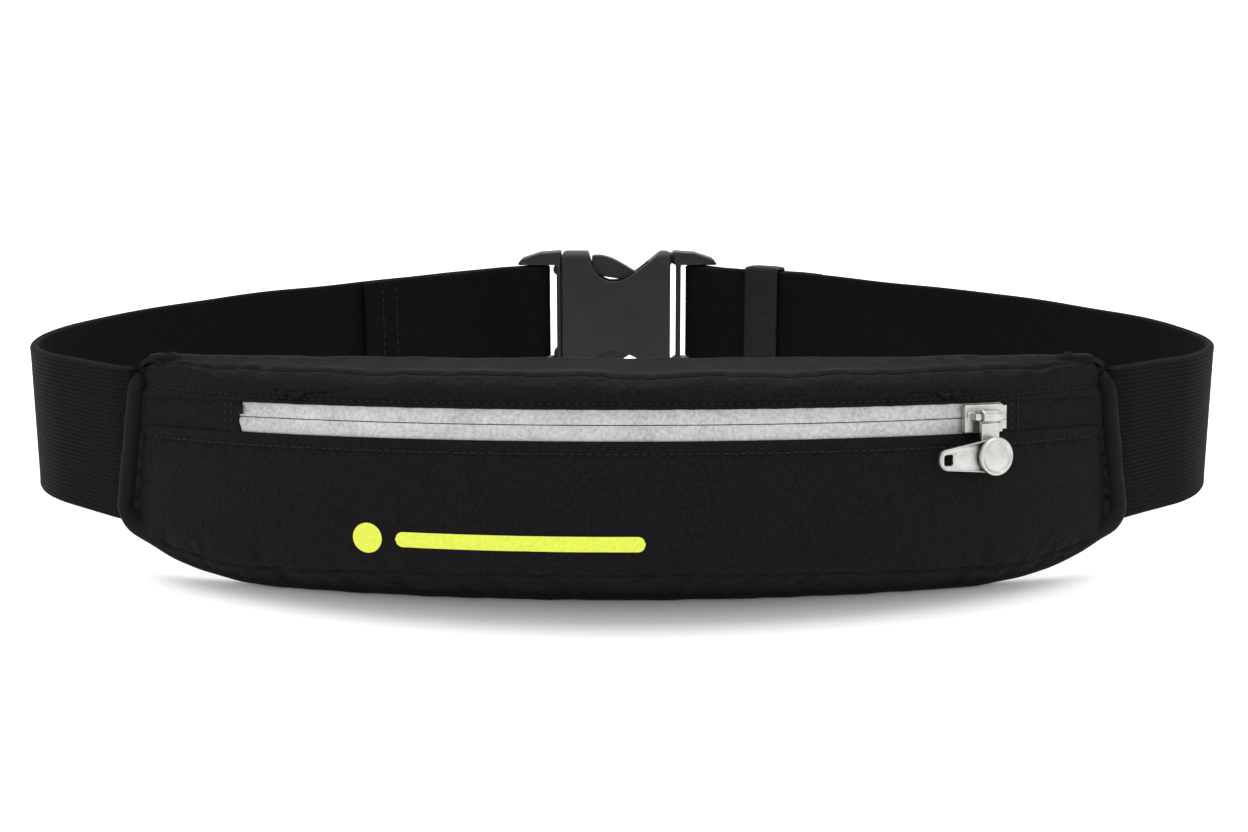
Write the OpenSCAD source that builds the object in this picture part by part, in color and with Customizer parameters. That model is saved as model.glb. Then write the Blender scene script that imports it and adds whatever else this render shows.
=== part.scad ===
// Waist pack: a slim zipped pouch on an elastic belt with a side-release buckle.
// X runs across the wearer, +Y goes from the pouch to the buckle and +Z is up.
// The pack stands on the lower edge of its pouch, at Z = 0, with the belt level.

/* [Pouch] */
// Width over the two end bindings
pouch_w = 240; // [200:2:300]
// Height at the middle
pouch_h = 51.5; // [45:0.5:75]
// Depth at the middle, from the body side to the front
pouch_depth = 19; // [12:0.5:30]
// Radius of the bend of the back panel round the body
body_bend_r = 400; // [320:10:600]
// Angle by which the pouch leans back
pouch_lean = 7; // [0:0.5:12]
// Thickness of the padded back panel
back_t = 3.5; // [2:0.25:6]
// Thickness of the front cloth
cloth_t = 1.2; // [0.8:0.1:2]
// Width of each end binding
bind_w = 4.5; // [3:0.5:6]
// Thickness of each end binding
bind_t = 7.5; // [6:0.25:10]
// How far the piping stands out from the edge
piping_out = 1.3; // [0.8:0.1:2.5]
// Half of the stretch where the lower edge runs level
level_half = 78; // [50:1:84]
// Rise of the lower edge at each end
end_rise = 10; // [4:0.5:16]
// Rise of the bottom from the back to the front, at the middle
front_lift = 7.5; // [0:0.5:10]
// Radius of the lower corners
corner_r = 8; // [7:0.5:12]
// How far each side leans in at the top
side_lean = 3; // [0:0.5:6]

/* [Zip] */
// Length of the zip between its end tabs
zip_len = 172; // [120:2:184]
// Height of the zip above the pouch's lower edge
zip_z = 40; // [30:0.5:42]
// Width of the zip that shows between the panels
zip_w = 6.75; // [6:0.25:10]
// Thickness of the tape
tape_t = 0.6; // [0.4:0.1:0.9]
// Thickness of the coil behind the tape
coil_t = 1.5; // [1:0.1:2]
// Length of the slider
slider_len = 10; // [8:0.5:14]
// Distance from the slider's bar down to the rivet
link_len = 8.4; // [7.5:0.2:12]
// Diameter of the rivet's head
rivet_d = 8.4; // [6:0.2:9]
// Length of the pull tab from the rivet to its far end
tab_len = 14; // [10:0.2:20]

/* [Belt] */
// Width of the webbing
strap_w = 38; // [30:1:50]
// Thickness of the webbing
strap_t = 2; // [1.4:0.1:2.6]
// Height of the webbing's lower edge above the ground
strap_lift = 11.5; // [9:0.5:20]
// Straight stretch beside the pouch
entry_run = 18; // [6:1:30]
// Radius of the belt's side bends
side_r = 45; // [36:1:60]
// Radius of the belt behind the side bends
flank_r = 95; // [70:5:130]
// Radius of the belt's rear quarters
rear_r = 170; // [130:5:220]
// Length of the last straight stretch before the buckle
end_run = 44; // [40:1:56]
// Length of the folded and sewn end on the left
fold_len = 84; // [60:2:100]
// Length of the free tail on the right
tail_len = 56; // [50:1:80]
// Width of the keeper
keeper_w = 14; // [6:0.5:16]
// Thickness of the keeper
keeper_t = 1.4; // [1:0.1:2]

/* [Buckle] */
// Length of the housing
house_len = 44.5; // [40:0.5:52]
// Thickness of the housing
house_t = 11; // [10:0.5:14]
// How far the housing stands above and below the webbing
house_over = 6; // [6:0.25:9]
// Diameter of the bars that the webbing folds round
bar_d = 3.2; // [2.4:0.2:3.8]
// Wall of the housing, front and back
house_wall = 2.4; // [1.8:0.1:2.8]
// Play of the prongs in the housing
prong_play = 0.4; // [0.3:0.05:0.5]

/* [Hidden] */

$fn = 64;
gap = 0.3;
eps = 0.01;
far = 600;

// Pouch outline and its two bends
half_w = pouch_w / 2;
inner_x = half_w - bind_w;
front_x = inner_x - 1;
end_x = half_w - corner_r;
base_z = piping_out * cos(pouch_lean) + gap * sin(pouch_lean);
function sagitta(r, x) = r - sqrt(r * r - x * x);
lens_sag = pouch_depth - back_t + sagitta(body_bend_r + back_t, inner_x);
front_r = (inner_x * inner_x + lens_sag * lens_sag) / (2 * lens_sag);
front_cy = front_r - pouch_depth;
end_slope = atan(2 * end_rise / (half_w - level_half));

// Route of the belt in plan, as stations [x, y, heading]
start_x = half_w - side_lean - bind_w / 2;
start_y = (sagitta(body_bend_r, start_x) - back_t / 2) * cos(pouch_lean)
    + (strap_lift + strap_w / 2) * sin(pouch_lean);
start_heading = asin(start_x / body_bend_r);
entry_r = 30;
entry_heading = 33;
side_heading = 90;
flank_heading = 112;
rear_heading = 134;
bar_heading = 150;
turn_r = 25;
step = 5.5;
wrap_r = bar_d / 2 + 0.2 + strap_t / 2;
layer = strap_t + 0.2;
ease_len = 16;

// Buckle, along X at the back of the belt
strap_mid_z = strap_lift + strap_w / 2;
house_x0 = -25;
house_x1 = house_x0 + house_len;
house_h = strap_w + 2 * house_over;
arm_z = strap_w / 2 + 0.5;
arm_len = 17.5;
slit = 1.3;
cross_bar_w = 2;
slot_w = 2.4;
plate_t = 1.9;
plate_gap = 0.3;
socket_bar_x = house_x1 + slot_w + cross_bar_w + 2 + wrap_r + strap_t / 2;
plug_bar_x = house_x0 - plate_gap - plate_t - 2.8 - wrap_r - strap_t / 2;

function leg_end(p, leg) = leg[0] == 0
    ? [p[0] + leg[1] * cos(p[2]), p[1] + leg[1] * sin(p[2]), p[2]]
    : [p[0] + leg[0] * (sin(p[2] + leg[1]) - sin(p[2])),
       p[1] + leg[0] * (cos(p[2]) - cos(p[2] + leg[1])),
       p[2] + leg[1]];
function leg_len(leg) = leg[0] == 0 ? leg[1] : leg[0] * leg[1] * PI / 180;
function leg_part(leg, s) = leg[0] == 0 ? [0, s] : [leg[0], s / leg[0] * 180 / PI];
function route_len(legs, i = 0) = i == len(legs) ? 0 : leg_len(legs[i]) + route_len(legs, i + 1);
function station(legs, s, p = belt_start, i = 0) =
    i == len(legs) - 1 || s <= leg_len(legs[i])
    ? leg_end(p, leg_part(legs[i], s))
    : station(legs, s - leg_len(legs[i]), leg_end(p, legs[i]), i + 1);

belt_start = [start_x, start_y, start_heading];
bends = [[entry_r, entry_heading - start_heading],
         [0, entry_run],
         [side_r, side_heading - entry_heading],
         [flank_r, flank_heading - side_heading],
         [rear_r, rear_heading - flank_heading]];
after_bends = station(bends, route_len(bends));
last_turn = leg_end([0, 0, rear_heading], [turn_r, bar_heading - rear_heading]);
bar_normal = [sin(bar_heading), -cos(bar_heading)];

// The right side has a set last stretch; the left side is fitted to the same buckle
right_end_x = socket_bar_x - wrap_r * bar_normal[0];
right_run = (right_end_x - end_run * cos(bar_heading) - last_turn[0] - after_bends[0])
    / cos(rear_heading);
right_legs = concat(bends, [[0, right_run], [turn_r, bar_heading - rear_heading], [0, end_run]]);
right_end = station(right_legs, route_len(right_legs));
buckle_y = right_end[1] + wrap_r * bar_normal[1];
left_dx = -plug_bar_x + wrap_r * bar_normal[0] - after_bends[0] - last_turn[0];
left_dy = buckle_y + wrap_r * bar_normal[1] - after_bends[1] - last_turn[1];
turn_sin = sin(bar_heading - rear_heading);
left_run = (left_dx * sin(bar_heading) - left_dy * cos(bar_heading)) / turn_sin;
left_end_run = (left_dy * cos(rear_heading) - left_dx * sin(rear_heading)) / turn_sin;
left_legs = concat(bends, [[0, left_run], [turn_r, bar_heading - rear_heading], [0, left_end_run]]);

// The whole pack is centred front to back
front_y = -pouch_depth * cos(pouch_lean);
rear_y = buckle_y + house_t / 2;
shift_y = -(front_y + rear_y) / 2;

// Points of an arc from angle a0 to a1
function arc(c, r, a0, a1, n = 8) =
    [for (i = [0:n]) [c[0] + r * cos(a0 + (a1 - a0) * i / n), c[1] + r * sin(a0 + (a1 - a0) * i / n)]];
function mirror_x(pts) = [for (i = [len(pts) - 1:-1:0]) [-pts[i][0], pts[i][1]]];

// Lower edge of the pouch: it lies level on the ground, then rises to the ends
function lower_z(x) = sagitta(body_bend_r, x) * tan(pouch_lean)
    + end_rise * pow(max(0, abs(x) - level_half) / (half_w - level_half), 2);
low_x = half_w - corner_r * (1 - sin(end_slope));

// Front outline of the pouch, moved in by d
arc_skip = 10;
function lower_turn(x) = atan(x / sqrt(body_bend_r * body_bend_r - x * x) * tan(pouch_lean)
    + 2 * end_rise * max(0, x - level_half) / pow(half_w - level_half, 2));
function half_outline(d) = concat(
    [for (i = [0:12]) let (x = low_x * i / 12, a = lower_turn(x)) [x - d * sin(a), lower_z(x) + d * cos(a)]],
    arc([low_x - corner_r * sin(end_slope), lower_z(low_x) + corner_r * cos(end_slope)],
        corner_r - d, end_slope - 90 + arc_skip, 0),
    arc([half_w - side_lean - corner_r, pouch_h - corner_r], corner_r - d, 0, 90));
function outline(d) = concat(half_outline(d), mirror_x(half_outline(d)));

module placed() { translate([0, shift_y, 0]) children(); }
module leaned() { placed() translate([0, 0, base_z]) rotate([-pouch_lean, 0, 0]) children(); }
module at_buckle() { placed() translate([0, buckle_y, strap_mid_z]) children(); }

// A front view shape pushed through the depth of the pouch
module through(pts) {
    translate([0, far / 2, 0]) rotate([90, 0, 0]) linear_extrude(far) polygon(pts);
}
module pouch_prism(d) { through(outline(d)); }
// The bottom slopes up to the front: everything above the slope, moved in by d
slope = atan(front_lift / pouch_depth);
function slope_z(x) = lower_z(x) * cos(slope) + sagitta(body_bend_r, x) * sin(slope);
module above_slope(d) {
    rotate([-slope, 0, 0]) through(concat(
        [for (i = [-20:20]) let (x = half_w * i / 20) [x, slope_z(x) + d]],
        [[half_w, far / 4], [-half_w, far / 4]]));
}
module upright(y, r) { translate([0, y, -far / 2]) cylinder(r = r, h = far, $fn = 180); }
// Everything in front of the back panel's bend at depth d, or behind the front bend
module before_back(d) {
    difference() {
        translate([-far / 2, -far / 2, -far / 2]) cube([far, far / 2 + 40, far]);
        upright(body_bend_r, body_bend_r + d);
    }
}
module front_disc(d) { upright(front_cy, front_r + d); }
module front_skin(d0, d1) {
    difference() {
        front_disc(d1);
        front_disc(d0);
    }
}
module slab(x0, x1, z0, z1) { translate([x0, -far / 2, z0]) cube([x1 - x0, far, z1 - z0]); }
// The space between the bindings, moved in by d from the edge of the pouch
module between_bindings(d, clear, side_x) {
    union() {
        intersection() {
            pouch_prism(d);
            slab(-end_x + clear, end_x - clear, -far / 4, far / 4);
        }
        intersection() {
            pouch_prism(bind_w + clear);
            slab(-side_x, side_x, -far / 4, far / 4);
        }
    }
}
module strap_slot() { band(stations(right_legs, 0, bind_w * 4), strap_t + 0.1, strap_w + 0.1); }

// Padded panel that lies against the body
module back_panel() {
    color("#1b1b1d") difference() {
        leaned() intersection() {
            between_bindings(0, 0, half_w);
            difference() {
                upright(body_bend_r, body_bend_r + back_t);
                upright(body_bend_r, body_bend_r);
            }
        }
        strap_slot();
        mirror([1, 0, 0]) strap_slot();
    }
}

// One strip of the front cloth, between two heights and two sides
module front_strip(x0, x1, z0, z1) {
    leaned() intersection() {
        between_bindings(cloth_t, gap, front_x);
        above_slope(cloth_t);
        slab(x0, x1, z0, z1);
        before_back(back_t);
        front_skin(-cloth_t, 0);
    }
}

// Main front cloth, below the zip
module front_panel() { color("#161618") front_strip(-front_x, front_x, -far / 4, zip_z - zip_w / 2); }

// Narrow front cloth, above the zip
module upper_panel() { color("#161618") front_strip(-front_x, front_x, zip_z + zip_w / 2, far / 4); }

// Cloth tabs that close the window at each end of the zip
module zip_tab_left() {
    color("#141416") front_strip(-front_x, -zip_len / 2, zip_z - zip_w / 2, zip_z + zip_w / 2);
}
module zip_tab_right() {
    color("#141416") front_strip(zip_len / 2, front_x, zip_z - zip_w / 2, zip_z + zip_w / 2);
}

// Strip that joins the front to the back panel round the rim
module rim(z0, z1) {
    leaned() intersection() {
        difference() {
            intersection() {
                pouch_prism(0);
                above_slope(0);
            }
            intersection() {
                pouch_prism(cloth_t);
                above_slope(cloth_t);
            }
        }
        slab(-end_x + gap, end_x - gap, z0, z1);
        before_back(back_t);
        front_disc(0);
    }
}
module gusset_top() { color("#1d1d20") rim(pouch_h / 2, far / 4); }
module gusset_bottom() { color("#101012") rim(-far / 4, pouch_h / 2); }

// Rolled edge of the back panel
module piping(z0, z1) {
    leaned() intersection() {
        difference() {
            pouch_prism(-piping_out);
            pouch_prism(0);
        }
        slab(-end_x, end_x, z0, z1);
        difference() {
            upright(body_bend_r, body_bend_r + back_t + gap);
            upright(body_bend_r, body_bend_r - gap);
        }
    }
}
module piping_top() { color("#202022") piping(pouch_h / 2, far / 4); }
module piping_bottom() { color("#202022") piping(-far / 4, pouch_h / 2); }

// Thick folded cloth at the pouch's end, sewn round the end of the webbing
module binding_right() {
    color("#1e1e20") difference() {
        leaned() intersection() {
            difference() {
                pouch_prism(0);
                pouch_prism(bind_w);
            }
            slab(end_x, far / 2, -far / 4, far / 4);
            difference() {
                upright(body_bend_r, body_bend_r + (bind_t + back_t) / 2);
                upright(body_bend_r, body_bend_r - (bind_t - back_t) / 2);
            }
        }
        strap_slot();
    }
}
module binding_left() { mirror([1, 0, 0]) binding_right(); }

// Half of the zip tape and half of its coil, above or below the slot for the slider
slot_half = 0.6;
coil_h = 2;
tape_back = 0.3;
module zip_strip(z0, z1, d0, d1) {
    leaned() intersection() {
        slab(-zip_len / 2, zip_len / 2, z0, z1);
        before_back(back_t);
        front_skin(d0, d1);
    }
}
module zip_tape_upper() {
    color("silver") zip_strip(zip_z + slot_half, zip_z + zip_w / 2, -tape_back - tape_t, -tape_back);
}
module zip_tape_lower() {
    color("silver") zip_strip(zip_z - zip_w / 2, zip_z - slot_half, -tape_back - tape_t, -tape_back);
}
coil_d0 = -tape_back - tape_t - coil_t;
coil_d1 = -tape_back - tape_t;
module zip_coil_upper() {
    color("#2a2a2c") zip_strip(zip_z + slot_half, zip_z + slot_half + coil_h, coil_d0, coil_d1);
}
module zip_coil_lower() {
    color("#2a2a2c") zip_strip(zip_z - slot_half - coil_h, zip_z - slot_half, coil_d0, coil_d1);
}

// Metal stops pinched on the tape past each end of the slider's travel
stop_w = 1.2;
stop_h = 2;
module zip_stop(x, z) {
    leaned() intersection() {
        slab(x - stop_w / 2, x + stop_w / 2, z - stop_h / 2, z + stop_h / 2);
        front_skin(-tape_back, cloth_t / 2);
        before_back(back_t);
    }
}
stop_x = zip_len / 2 - stop_w / 2 - 0.2;
module zip_stop_left() { color("silver") zip_stop(-stop_x, zip_z + slot_half + stop_h / 2); }
module zip_stops_right() {
    color("silver") union() {
        zip_stop(stop_x, zip_z + slot_half + stop_h / 2);
        zip_stop(stop_x, zip_z - slot_half - stop_h / 2);
    }
}

// The slider and its pull ride round the front bend's own centre
slider_angle = asin((stop_x - stop_w / 2 - gap - slider_len / 2) / front_r);
module at_slider() {
    leaned() translate([0, front_cy, zip_z]) rotate([0, 0, slider_angle])
        translate([0, -front_r, 0]) children();
}
plate_front_t = 1.2;
plate_u = gap + plate_front_t;
slider_h = 6.2;
bar_r = 0.7;
eye_r = 1.5;
bar_u = plate_u + eye_r + gap;
bar_z = 0.6;
neck_h = 0.6;
skid_t = 1;
// A box given by its ends along the zip, its depths outward and its heights
module out_box(x0, x1, u0, u1, z0, z1) { translate([x0, -u1, z0]) cube([x1 - x0, u1 - u0, z1 - z0]); }
module out_pin(u0, u1, r, x = 0, z = 0) {
    translate([x, -u0, z]) rotate([90, 0, 0]) cylinder(r = r, h = u1 - u0);
}
bow = sagitta(front_r, slider_len / 2);
module zip_slider() {
    leg_w = 1.4;
    color("#c9c9c7") at_slider() union() {
        out_box(-slider_len / 2, slider_len / 2, gap, plate_u, -slider_h / 2, slider_h / 2);
        out_box(-slider_len / 4, slider_len / 2 - 1, coil_d0 - gap - bow - skid_t, gap + eps,
                -neck_h / 2, neck_h / 2);
        out_box(-slider_len / 2 + 1, slider_len / 2 - 1, coil_d0 - gap - bow - skid_t, coil_d0 - gap - bow,
                -coil_h - slot_half, coil_h + slot_half);
        for (side = [-1, 1])
            translate([side * (slider_len / 2 - 1 - leg_w / 2), 0, 0])
                out_box(-leg_w / 2, leg_w / 2, plate_u - eps, bar_u + bar_r, bar_z - bar_r, bar_z + bar_r);
        translate([-slider_len / 2 + 1.2, -bar_u, bar_z]) rotate([0, 90, 0])
            cylinder(r = bar_r, h = slider_len - 2.4);
    }
}

// Flat link with an eye round the slider's bar
link_t = 1;
link_w = 4.6;
rivet_z = bar_z - link_len;
shank_r = 1.2;
run_play = 0.08;
module pull_link() {
    color("#cfcfcd") at_slider() difference() {
        union() {
            translate([-link_w / 2, -bar_u, bar_z]) rotate([0, 90, 0]) cylinder(r = eye_r, h = link_w);
            out_box(-link_w / 2, link_w / 2, bar_u - link_t / 2, bar_u + link_t / 2, rivet_z, bar_z);
            out_pin(bar_u - link_t / 2, bar_u + link_t / 2, link_w / 2, 0, rivet_z);
        }
        translate([-link_w / 2 - eps, -bar_u, bar_z]) rotate([0, 90, 0])
            cylinder(r = bar_r + run_play, h = link_w + 2 * eps);
        out_pin(bar_u - link_t, bar_u + link_t, shank_r, 0, rivet_z);
    }
}

// Rivet through the link, with a round flat head in front of the tab
tab_t = 1;
tab_u = bar_u + link_t / 2 + 0.15;
head_u = tab_u + tab_t + 0.15;
head_t = 1.1;
module pull_rivet() {
    color("#d6d6d4") at_slider() union() {
        out_pin(bar_u - link_t / 2, head_u + eps, shank_r, 0, rivet_z);
        out_pin(head_u, head_u + head_t, rivet_d / 2, 0, rivet_z);
    }
}

// Tapered tab that turns on the rivet, with a square hole near its far end
module pull_tab() {
    root_r = rivet_d / 2 - 0.5;
    tip_r = 2.3;
    tip_x = -(tab_len - tip_r);
    tip_z = -0.4;
    hole = 2.4;
    color("#cfcfcd") at_slider() translate([0, 0, rivet_z]) difference() {
        union() {
            out_pin(tab_u, tab_u + tab_t, root_r);
            out_pin(tab_u, tab_u + tab_t, tip_r, tip_x, tip_z);
            translate([0, -tab_u, 0]) rotate([90, 0, 0]) linear_extrude(tab_t)
                polygon([[0, root_r], [0, -root_r], [tip_x, tip_z - tip_r], [tip_x, tip_z + tip_r]]);
        }
        out_box(tip_x - hole / 2, tip_x + hole / 2, tab_u - 1, tab_u + tab_t + 1,
                tip_z - hole / 2, tip_z + hole / 2);
        out_pin(tab_u - 1, tab_u + tab_t + 1, shank_r + run_play);
    }
}

// Plain printed mark: a dot and a long bar with round ends
print_x = -26;
print_z = 15.5;
print_len = 62;
print_h = 6.5;
print_t = 0.15;
module front_print() {
    dot_x = print_x - print_len / 2 + print_h / 2;
    bar_x0 = dot_x + print_h * 1.2;
    bar_x1 = print_x + print_len / 2 - print_h / 4;
    color("#dfe64a") leaned() intersection() {
        union() {
            translate([dot_x, far / 2, print_z]) rotate([90, 0, 0]) cylinder(d = print_h, h = far);
            slab(bar_x0, bar_x1, print_z - print_h / 4, print_z + print_h / 4);
            for (x = [bar_x0, bar_x1])
                translate([x, far / 2, print_z]) rotate([90, 0, 0]) cylinder(d = print_h / 2, h = far);
        }
        before_back(back_t);
        front_skin(0, print_t);
    }
}

// Stations along a stretch of the belt
function stations(legs, s0, s1) =
    let (n = ceil((s1 - s0) / step)) [for (i = [0:n]) station_line(legs, s0 + (s1 - s0) * i / n, 0)];
// A station as [x, y, nx, ny], moved out by d, where n points to the outside of the loop
function station_line(legs, s, d) =
    let (p = station(legs, s)) [p[0] + d * sin(p[2]), p[1] - d * cos(p[2]), sin(p[2]), -cos(p[2])];
// The fold round a bar, then the second layer back along the belt, outside (+1) or inside (-1)
function fold(legs, side) =
    let (p = station(legs, route_len(legs)), n = [sin(p[2]), -cos(p[2])], d = [cos(p[2]), sin(p[2])],
         c = [p[0], p[1]] + side * wrap_r * n)
    [for (a = [15:15:165]) let (m = n * cos(a) - side * d * sin(a)) [c[0] - side * wrap_r * m[0],
        c[1] - side * wrap_r * m[1], m[0], m[1]]];
function ease(s) = s > ease_len ? 0 : (1 + cos(180 * s / ease_len)) / 2;
function second_layer(legs, side, len) =
    let (total = route_len(legs), n = ceil(len / step))
    [for (i = [0:n]) let (s = len * i / n, d = side * (layer + (2 * wrap_r - layer) * ease(s)),
        q = station_line(legs, total - s, d)) [q[0], q[1], -q[2], -q[3]]];
// Webbing of thickness t and width w along such a line
module band(line, t, w) {
    n = len(line);
    placed() translate([0, 0, strap_mid_z - w / 2]) linear_extrude(w)
        polygon(concat([for (q = line) [q[0] + q[2] * t / 2, q[1] + q[3] * t / 2]],
            [for (i = [n - 1:-1:0]) let (q = line[i]) [q[0] - q[2] * t / 2, q[1] - q[3] * t / 2]]));
}

// Right half of the belt: it turns round the socket's bar and its tail lies on the outside
module strap_right() {
    color("#19191b") band(concat(stations(right_legs, 0, route_len(right_legs)), fold(right_legs, 1),
        second_layer(right_legs, 1, tail_len)), strap_t, strap_w);
}

// Left half of the belt, from the pouch to the rear quarter
left_total = route_len(left_legs);
left_split = route_len([for (i = [0:3]) bends[i]]);
module strap_left() {
    color("#19191b") mirror([1, 0, 0]) band(stations(left_legs, 0, left_split), strap_t, strap_w);
}

// Its rear end, folded round the plug's bar and sewn back on the inside
module strap_left_end() {
    color("#19191b") mirror([1, 0, 0]) band(concat(stations(left_legs, left_split + 0.2, left_total),
        fold(left_legs, -1), second_layer(left_legs, -1, fold_len)), strap_t, strap_w);
}

// Closed band that holds the tail down; it slides along the straight stretch
keeper_at = 32;
module keeper() {
    p = station(right_legs, route_len(right_legs) - keeper_at);
    in_t = strap_t + layer + 2 * gap;
    out_t = in_t + 2 * keeper_t;
    color("#232325") placed() translate([p[0], p[1], strap_mid_z]) rotate([0, 0, p[2]])
        translate([0, -layer / 2, 0]) difference() {
            translate([-keeper_w / 2, -out_t / 2, -strap_w / 2 - gap - keeper_t])
                cube([keeper_w, out_t, strap_w + 2 * gap + 2 * keeper_t]);
            translate([-keeper_w / 2 - 1, -in_t / 2, -strap_w / 2 - gap])
                cube([keeper_w + 2, in_t, strap_w + 2 * gap]);
        }
}

// Front view of a notch that bares a prong: steep on the plug's side, easy on the other
notch_x0 = house_x0 + 10.8;
notch_x1 = house_x0 + 40.5;
upper_notch = 12.3;
lower_notch = 9;
notch_power = 0.643;
function notch_z(x, deep) = house_h / 2
    - deep * sin(180 * pow((x - notch_x0) / (notch_x1 - notch_x0), notch_power));
function notch(deep) = concat([[notch_x0 - 1, house_h / 2 + 2]],
    [for (i = [0:16]) let (x = notch_x0 + (notch_x1 - notch_x0) * i / 16) [x, notch_z(x, deep)]],
    [[notch_x1 + 1, house_h / 2 + 2]]);
module along_y(t) { translate([0, t / 2, 0]) rotate([90, 0, 0]) linear_extrude(t) children(); }
module round_rect(x0, x1, z0, z1, r) {
    union() {
        translate([x0 + r, z0]) square([x1 - x0 - 2 * r, z1 - z0]);
        translate([x0, z0 + r]) square([x1 - x0, z1 - z0 - 2 * r]);
        for (x = [x0 + r, x1 - r], z = [z0 + r, z1 - r]) translate([x, z]) circle(r = r);
    }
}
// Arms above and below the webbing, with a sloped outer side
module arms(x0, x1, deep) {
    tip = 3;
    for (side = [-1, 1]) along_y(deep)
        polygon([[x0, side * arm_z], [x0, side * house_h / 2], [(x0 + x1) / 2, side * (house_h / 2 - 0.6)],
                 [x1 - sign(x1 - x0) * 1.5, side * (house_h / 2 - tip)],
                 [x1, side * (house_h / 2 - tip - 1.5)], [x1, side * arm_z]]);
}
cavity_t = house_t - 2 * house_wall;
cavity_z = house_h / 2 - 4.5;
cavity_x1 = notch_x1 - 1;

// Housing with its two notches, its cross bar and the bar that holds the webbing
module buckle_socket() {
    arm_x0 = house_x1 + slit;
    core_t = house_t - 4;
    color("#3a3a3c") at_buckle() union() {
        difference() {
            intersection() {
                along_y(house_t) round_rect(house_x0, house_x1, -house_h / 2, house_h / 2, 2);
                rotate([90, 0, 90]) linear_extrude(far, center = true)
                    round_rect(-house_t / 2, house_t / 2, -house_h / 2, house_h / 2, 3);
            }
            translate([house_x0 - 1, -cavity_t / 2, -cavity_z])
                cube([cavity_x1 - house_x0 + 1, cavity_t, 2 * cavity_z]);
            along_y(house_t + 2) polygon(notch(upper_notch));
            mirror([0, 0, 1]) along_y(house_t + 2) polygon(notch(lower_notch));
        }
        arms(arm_x0, arm_x0 + arm_len, house_t - 1);
        for (side = [-1, 1]) translate([house_x1 - 1, -core_t / 2, side * (arm_z + house_h / 2) / 2 - 2])
            cube([slit + 2, core_t, 4]);
        translate([house_x1 + slot_w, -core_t / 2 + 1, -arm_z - 1])
            cube([cross_bar_w, core_t - 2, 2 * arm_z + 2]);
        translate([socket_bar_x, 0, -arm_z - 1]) cylinder(d = bar_d, h = 2 * arm_z + 2);
    }
}

// Plug with its end plate, its arms and the bar for the sewn end
prong_x = house_x0 - plate_gap - plate_t / 2;
prong_z = cavity_z - 3;
prong_t = cavity_t - 2 * prong_play;
pocket_t = prong_t + 2 * gap;
pocket_h = 6.4;
plate_deep = house_t - 2;
module buckle_plug() {
    plate_x0 = house_x0 - plate_gap - plate_t;
    color("#3a3a3c") at_buckle() difference() {
        union() {
            arms(house_x0 - plate_gap, house_x0 - plate_gap - arm_len, house_t - 1);
            translate([plate_x0, -plate_deep / 2, -arm_z - 1]) cube([plate_t, plate_deep, 2 * arm_z + 2]);
            translate([plug_bar_x, 0, -arm_z - 1]) cylinder(d = bar_d, h = 2 * arm_z + 2);
        }
        for (side = [-1, 1]) translate([plate_x0 - 2, -pocket_t / 2, side * prong_z - pocket_h / 2])
            cube([plate_t + 4, pocket_t, pocket_h]);
    }
}

// Springy prong with a pad that shows in the notch and catches on its steep side
pad_top = house_h / 2 - 1.6;
function pad_start(deep) = notch_x0 + gap + (notch_x1 - notch_x0)
    * pow(asin((house_h / 2 - cavity_z + 0.3) / deep) / 180, 1 / notch_power);
module prong(deep) {
    pad_x = pad_start(deep);
    tip_x = notch_x0 + 21.5;
    color("#333335") along_y(prong_t) union() {
        polygon(concat(
            [[prong_x, prong_z - 2.4], [pad_x, prong_z - 2.2], [tip_x - 4, prong_z - 4.5]],
            arc([tip_x - 3, prong_z - 2.6], 2, -110, 60, 6),
            [for (i = [0:8]) [tip_x - 4 - (tip_x - pad_x - 6) * i / 8,
                prong_z + 0.2 + (pad_top - prong_z - 0.2) * sin(90 * i / 8)]],
            [[pad_x, pad_top - 0.3], [pad_x, prong_z + 2.4], [prong_x, prong_z + 2.4]]));
        translate([prong_x, prong_z]) circle(r = 2.4);
    }
}
module prong_upper() { at_buckle() prong(upper_notch); }
module prong_lower() { at_buckle() mirror([0, 0, 1]) prong(lower_notch); }

back_panel();
front_panel();
upper_panel();
gusset_top();
gusset_bottom();
piping_top();
piping_bottom();
binding_left();
binding_right();
zip_tab_left();
zip_tab_right();
zip_tape_upper();
zip_tape_lower();
zip_coil_upper();
zip_coil_lower();
zip_stop_left();
zip_stops_right();
zip_slider();
pull_link();
pull_rivet();
pull_tab();
front_print();
strap_right();
strap_left();
strap_left_end();
keeper();
buckle_socket();
buckle_plug();
prong_upper();
prong_lower();
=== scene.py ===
import math

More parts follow.
